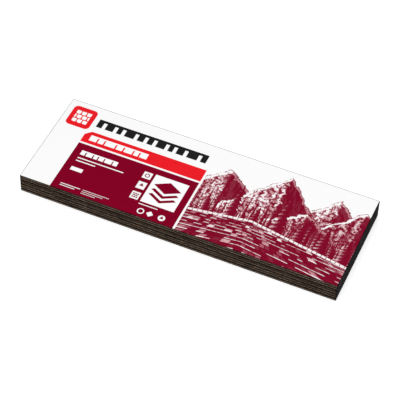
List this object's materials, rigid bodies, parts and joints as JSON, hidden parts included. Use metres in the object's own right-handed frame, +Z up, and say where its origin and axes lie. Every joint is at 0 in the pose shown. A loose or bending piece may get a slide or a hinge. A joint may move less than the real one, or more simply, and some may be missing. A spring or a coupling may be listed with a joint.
{
  "type": "asphalt shingle bundle",
  "caption": "Flat bundle of laminated asphalt roofing shingles, nested in turned pairs and held by a printed film band that leaves the long sides open.",
  "frame": {"origin": "middle of the base, on the floor that the bundle lies on", "axes": "+X along the shingles, left to right as the print reads; +Y from the front long side to the back; +Z up through the stack"},
  "size_m": [1.004, 0.355, 0.0666],
  "materials": {
    "shingle": "rough mineral granules on black bitumen, matt",
    "film": "printed polythene film, satin, black on the inside and at the ends"
  },
  "bodies": {
    "root": {"shingle_01": "shingle", "shingle_02": "shingle", "shingle_03": "shingle", "shingle_04": "shingle", "shingle_05": "shingle", "shingle_06": "shingle", "shingle_07": "shingle", "shingle_08": "shingle", "shingle_09": "shingle", "shingle_10": "shingle", "shingle_11": "shingle", "shingle_12": "shingle", "shingle_13": "shingle", "shingle_14": "shingle", "wrapper": "film"}
  },
  "joints": []
}
